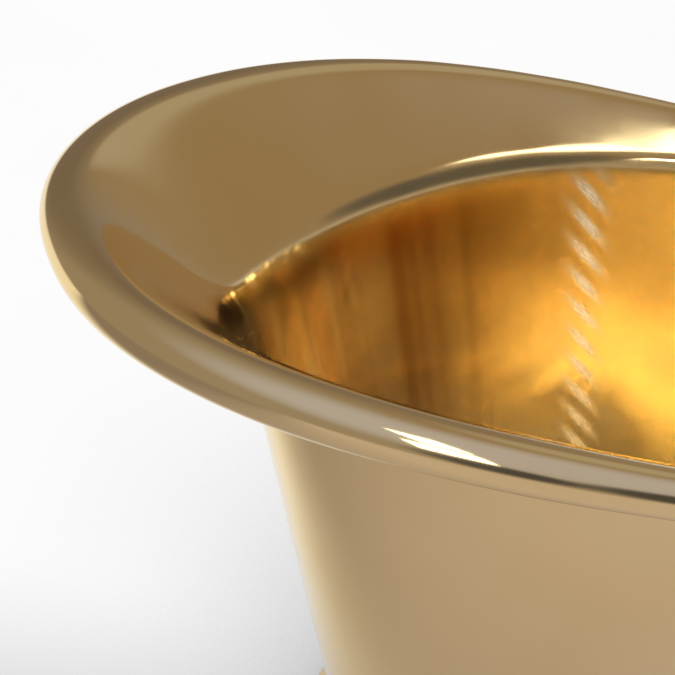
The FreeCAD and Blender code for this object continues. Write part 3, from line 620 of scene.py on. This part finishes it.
def new_material(name):
    """A material with its nodes and its main shader."""
    material = bpy.data.materials.new(name)
    material.use_nodes = True
    return material, material.node_tree, material.node_tree.nodes["Principled BSDF"]


def number(tree, name):
    """A sheet's own number, as set by mark_sheet."""
    return add_node(tree, "Attribute", attribute_name=name).outputs["Fac"]


def spread(tree, value, low, high, start, end, ends="LINEAR"):
    """A value from start to end spread to run from low to high."""
    sockets = {"Value": value, "From Min": start, "From Max": end, "To Min": low, "To Max": high}
    return add_node(tree, "MapRange", sockets, interpolation_type=ends).outputs["Result"]


def soft_spread(tree, value, low, high, start, end):
    """The same with soft ends."""
    return spread(tree, value, low, high, start, end, "SMOOTHSTEP")


def math_node(tree, operation, first, second=0.0):
    """The result of a sum on one or two values."""
    return add_node(tree, "Math", {0: first, 1: second}, operation=operation).outputs[0]


def dot(tree, first, second):
    """How far one vector reaches along another."""
    made = add_node(tree, "VectorMath", {0: first, 1: second}, operation="DOT_PRODUCT")
    return made.outputs["Value"]


def mix_colour(tree, share, first, second):
    """A colour that goes from the first to the second as share goes from 0 to 1."""
    made = add_node(tree, "Mix", {"Factor": share}, data_type="RGBA")
    for socket, value in ((made.inputs[6], first), (made.inputs[7], second)):
        if isinstance(value, bpy.types.NodeSocket):
            tree.links.new(value, socket)
        else:
            socket.default_value = (*value, 1)
    return made.outputs[2]


def noise(tree, scale, detail=3.0, stretch=(1, 1, 1), vector=None):
    """Noise over the piece, drawn out along an axis where stretch is small."""
    if vector is None:
        vector = add_node(tree, "TexCoord").outputs["Object"]
    placed = add_node(tree, "Mapping", {"Vector": vector, "Scale": stretch}).outputs[0]
    return add_node(tree, "TexNoise", {"Vector": placed, "Scale": scale, "Detail": detail}).outputs["Fac"]


def sheet_vector(tree):
    """Places on a sheet: round the tub, down its section."""
    return add_node(tree, "CombineXYZ", {"X": number(tree, "around"), "Y": number(tree, "run")}).outputs[0]


def place_along(tree, axis):
    """Where a point of the piece lies along X, Y or Z."""
    return add_node(tree, "SeparateXYZ", {0: add_node(tree, "TexCoord").outputs["Object"]}).outputs[axis]


def seam_braze_and_highlight(tree):
    """The pale slanting marks along a brazed seam, from 0 to 1: partly pale braze that planishing lays bare,
    partly a painted highlight where the hammered ripples face the light.
    """
    off = number(tree, "seam_offset")
    band = soft_spread(tree, math_node(tree, "ABSOLUTE", off), 1.0, 0.0, 0.0, SEAM_BAND)
    across = math_node(tree, "ADD", place_along(tree, "Z"), math_node(tree, "MULTIPLY", off, RIPPLE_SLANT))
    turn = math_node(tree, "MULTIPLY", across, 2 * math.pi / RIPPLE_LENGTH)
    ripple = soft_spread(tree, math_node(tree, "SINE", turn), 0.0, 1.0, -1.0, 1.0)
    place = add_node(tree, "CombineXYZ", {"X": across, "Y": off}).outputs[0]
    scratches = spread(tree, noise(tree, 1.0, 3.0, SCRATCHES, place), *SCRATCH_SHARES, *SCRATCH_RANGE)
    return math_node(tree, "MULTIPLY", math_node(tree, "MULTIPLY", band, ripple), scratches)


def off_the_pan(tree):
    """1 up on the tub's wall, fading to 0 at its floor."""
    return soft_spread(tree, place_along(tree, "Z"), 0.0, 1.0, *WALL_FOOT)


def painted_dark_reflection(tree):
    """How far painted dark reflections deepen the inside, from 0 to 1: most at the raised end, in soft
    upright streaks.
    """
    reach = soft_spread(tree, place_along(tree, "X"), 1.0, 0.0, *PAINTED_DARK_REACH)
    grain = noise(tree, 1.0, 2.0, PAINTED_DARK_STREAKS, sheet_vector(tree))
    streaks = spread(tree, grain, *STREAK_SHARES, *STREAK_RANGE)
    return math_node(tree, "MULTIPLY", math_node(tree, "MULTIPLY", reach, streaks), off_the_pan(tree))


def make_polished_brass():
    """Brass buffed to a mirror outside and left a little softer inside the tub."""
    material, tree, shader = new_material("polished_brass")
    inside = number(tree, "inside")
    tone = spread(tree, noise(tree, BRASS_CLOUDS, 4.0), 0.0, 1.0, *BRASS_CLOUD_RANGE)
    outer = mix_colour(tree, tone, BRASS_LIGHT, BRASS_WARM)
    # The inside's tone, darkened towards the raised end by painted dark reflections in upright streaks
    inner = mix_colour(tree, painted_dark_reflection(tree), BRASS_BRIGHT, BRASS_PAINTED_DARK)
    colour = mix_colour(tree, inside, outer, inner)
    # Pale seams inside, partly real braze and partly a painted highlight
    braze_and_highlight = math_node(tree, "MULTIPLY", seam_braze_and_highlight(tree), inside)
    colour = mix_colour(tree, braze_and_highlight, colour, BRAZE_PALE_AND_HIGHLIGHT)
    buffing = noise(tree, 1.0, 5.0, SATIN_BUFFING, sheet_vector(tree))
    mirror = spread(tree, noise(tree, MIRROR_CLOUDS, 5.0), *MIRROR_ROUGHNESS, *NOISE_RANGE)
    satin = spread(tree, buffing, *SATIN_ROUGHNESS, *NOISE_RANGE)
    head = spread(tree, math_node(tree, "COSINE", number(tree, "around")), 0.0, HEAD_ROUGHNESS, *HEAD_REACH)
    satin = math_node(tree, "ADD", satin, math_node(tree, "MULTIPLY", head, off_the_pan(tree)))
    rough = add_node(tree, "Mix", {0: inside, 2: mirror, 3: satin}).outputs[0]
    rough = add_node(tree, "Mix", {0: braze_and_highlight, 2: rough, 3: BRAZE_ROUGHNESS}).outputs[0]
    tree.links.new(colour, shader.inputs["Base Color"])
    tree.links.new(rough, shader.inputs["Roughness"])
    tangent = add_node(tree, "Tangent", direction_type="UV_MAP", uv_map=FLAT_LAYOUT).outputs[0]
    tree.links.new(tangent, shader.inputs["Tangent"])
    shader.inputs["Metallic"].default_value = 1.0
    shader.inputs["Anisotropic"].default_value = BUFFED_ONE_WAY
    shader.inputs["Anisotropic Rotation"].default_value = CROSSWISE
    return material


def turned_rings(tree):
    """Fine rings round the waste, as a lathe leaves them, from 0 to 1."""
    place = add_node(tree, "TexCoord").outputs["Object"]
    flat = add_node(tree, "VectorMath", {0: place, 1: (1, 1, 0)}, operation="MULTIPLY").outputs[0]
    off = add_node(tree, "VectorMath", {0: flat, 1: (WASTE_X, 0, 0)}, operation="DISTANCE").outputs["Value"]
    turn = math_node(tree, "MULTIPLY", off, 2 * math.pi / TURNED_PITCH)
    return spread(tree, math_node(tree, "SINE", turn), 0.0, 1.0, -1.0, 1.0)


def make_finish(slot, dark, light, roughness, metallic, grain, depth):
    """A finish in two tones, cloudy over the piece, with a fine grain in its surface and its sheen."""
    material, tree, shader = new_material(slot)
    cloud = spread(tree, noise(tree, FINISH_CLOUDS, 4.0), 0.0, 1.0, *NOISE_RANGE)
    speck = noise(tree, grain, 3.0)
    if slot == "waste_brass":
        speck = math_node(tree, "MULTIPLY", speck, turned_rings(tree))
    tone = spread(tree, math_node(tree, "ADD", cloud, speck), 0.0, 1.0, *FINISH_TONE_RANGE)
    bump = add_node(tree, "Bump", {"Height": speck, "Strength": GRAIN_STRENGTH, "Distance": depth})
    tree.links.new(mix_colour(tree, tone, dark, light), shader.inputs["Base Color"])
    tree.links.new(spread(tree, speck, *roughness, *GRAIN_RANGE), shader.inputs["Roughness"])
    tree.links.new(bump.outputs[0], shader.inputs["Normal"])
    shader.inputs["Metallic"].default_value = metallic
    return material


def finish_hardware():
    """Gives every solid that is not replaced its own finish."""
    for row in frame["record"]["subparts"]:
        if row["material_slot"] in finishes:
            materials = frame["nodes"][row["node"]].data.materials
            materials.clear()
            materials.append(finishes[row["material_slot"]])


def floor_glow(tree):
    """The floor as eye and metal see it, with light and shade painted in: a painted pool of light behind the
    tub, painted dimness before it, a painted soft shadow near it, grey far off.
    """
    shade = add_node(tree, "AmbientOcclusion", {"Distance": FLOOR_SHADE_REACH}, samples=FLOOR_SHADE_SAMPLES)
    open_share = spread(tree, shade.outputs["AO"], 0.0, 1.0, *FLOOR_SHADE_SHARES)
    cloud = spread(tree, noise(tree, FLOOR_CLOUDS, 3.0), *FLOOR_CLOUD_SHARES, *NOISE_RANGE)
    place = add_node(tree, "TexCoord").outputs["Object"]
    clear = soft_spread(tree, dot(tree, place, CLEAR_WAY), 0.0, 1.0, *CLEAR_RUN)
    dim = mix_colour(tree, clear, FLOOR_DIM, FLOOR_CLEAR)
    lit = mix_colour(tree, soft_spread(tree, dot(tree, place, LIT_WAY), 0.0, 1.0, *LIT_RUN), dim, FLOOR_PALE)
    colour = mix_colour(tree, math_node(tree, "MULTIPLY", open_share, cloud), FLOOR_SHADE, lit)
    distance = add_node(tree, "VectorMath", {0: place}, operation="LENGTH").outputs["Value"]
    return mix_colour(tree, spread(tree, distance, 0.0, 1.0, *FLOOR_FADE), colour, WORLD_GREY)


def make_floor():
    """A wide pale floor that keeps the tub's soft shadow."""
    points = [(x * FLOOR_REACH, y * FLOOR_REACH, 0) for x, y in ((-1, -1), (1, -1), (1, 1), (-1, 1))]
    floor = add_mesh("floor", points, np.array([[0, 1, 2, 3]]))
    material, tree, shader = new_material("pale_floor")
    shader.inputs["Roughness"].default_value = FLOOR_ROUGHNESS
    glow = floor_glow(tree)
    tree.links.new(glow, shader.inputs["Base Color"])
    path = add_node(tree, "LightPath").outputs
    seen = math_node(tree, "ADD", path["Is Camera Ray"], path["Is Glossy Ray"])
    seen = add_node(tree, "Clamp", {0: math_node(tree, "ADD", seen, path["Is Transmission Ray"])}).outputs[0]
    shown = add_node(tree, "Emission", {"Color": glow}).outputs[0]
    both = add_node(tree, "MixShader", {0: seen, 1: shader.outputs[0], 2: shown}).outputs[0]
    tree.links.new(both, tree.nodes["Material Output"].inputs["Surface"])
    floor.data.materials.append(material)


def way_to(azimuth, rise):
    """The direction at an angle round from +Y towards +X and an angle above the level."""
    azimuth, rise = math.radians(azimuth), math.radians(rise)
    level = math.cos(rise)
    return Vector((math.sin(azimuth) * level, math.cos(azimuth) * level, math.sin(rise)))


def towards(tree, way, direction, wide, narrow):
    """1 within a narrow angle of a direction, fading to 0 at a wide one."""
    start, end = math.cos(math.radians(wide)), math.cos(math.radians(narrow))
    return soft_spread(tree, dot(tree, way, direction), 0.0, 1.0, start, end)


def make_world():
    """A grey studio: warm behind the tub, cool above the camera and dark low down beside it."""
    world = bpy.data.worlds.new("studio")
    bpy.context.scene.world = world
    world.use_nodes = True
    tree = world.node_tree
    way = add_node(tree, "TexCoord").outputs["Generated"]
    grey = WORLD_GREY
    for azimuth, rise, wide, narrow, tint in WORLD_TINTS:
        grey = mix_colour(tree, towards(tree, way, way_to(azimuth, rise), wide, narrow), grey, tint)
    tree.links.new(grey, tree.nodes["Background"].inputs["Color"])


def make_lamp(name, around, above, brightness):
    """A far flat lamp that faces the tub and fills the angles it is given."""
    way = way_to(sum(around) / 2, sum(above) / 2)
    level = math.hypot(way.x, way.y)
    wide, high = math.radians(around[1] - around[0]) * level, math.radians(above[1] - above[0])
    lamp = bpy.data.lights.new(name, "AREA")
    lamp.shape, lamp.size, lamp.size_y = "RECTANGLE", LAMP_DISTANCE * wide, LAMP_DISTANCE * high
    lamp.energy, lamp.color = brightness * math.pi * lamp.size * lamp.size_y, LAMP_COLOUR
    holder = bpy.data.objects.new(name, lamp)
    bpy.context.scene.collection.objects.link(holder)
    facing = (-way).to_track_quat("-Z", "Y").to_matrix().to_4x4()
    holder.matrix_world = Matrix.Translation(Vector(SUBJECT) + way * LAMP_DISTANCE) @ facing
    return holder


def make_lamps():
    """The lamps, with the rolled rims flagged off from those that light the inside."""
    for lamp in LAMPS:
        make_lamp(*lamp)
    flagged = bpy.data.collections.new("flagged_rims")
    for name in ("slipper_end_rolled_rim_sheet", "low_end_rolled_rim_sheet"):
        flagged.objects.link(bpy.data.objects[name])
    for rim in flagged.collection_objects:
        rim.light_linking.link_state = "EXCLUDE"
    for lamp in INSIDE_LAMPS:
        make_lamp(*lamp).light_linking.receiver_collection = flagged


def make_camera():
    """The camera, above and beside the raised end, looking down into the tub."""
    turn, rise, tilt = (math.radians(angle) for angle in (CAMERA_TURN, CAMERA_RISE, CAMERA_TILT))
    back = Vector((math.sin(turn) * math.cos(rise), -math.cos(turn) * math.cos(rise), math.sin(rise)))
    right = Vector((0, 0, 1)).cross(back).normalized()
    up = back.cross(right)
    right, up = right * math.cos(tilt) + up * math.sin(tilt), up * math.cos(tilt) - right * math.sin(tilt)
    camera = bpy.data.cameras.new("camera")
    camera.sensor_width = SENSOR_WIDTH
    camera.lens = CAMERA_LENS
    camera.clip_start = CAMERA_NEAR
    holder = bpy.data.objects.new("camera", camera)
    bpy.context.scene.collection.objects.link(holder)
    axes = Matrix((right, up, back)).transposed().to_4x4()
    holder.matrix_world = Matrix.Translation(Vector(CAMERA_TARGET) + back * CAMERA_DISTANCE) @ axes
    bpy.context.scene.camera = holder


polished_brass = make_polished_brass()
finishes = {slot: make_finish(slot, *finish) for slot, finish in FINISHES.items()}
tub_pieces()
pan_piece()
plinth_piece()
cap_piece()
finish_hardware()
make_floor()
make_world()
make_lamps()
make_camera()
bpy.context.scene.view_settings.view_transform = "Standard"
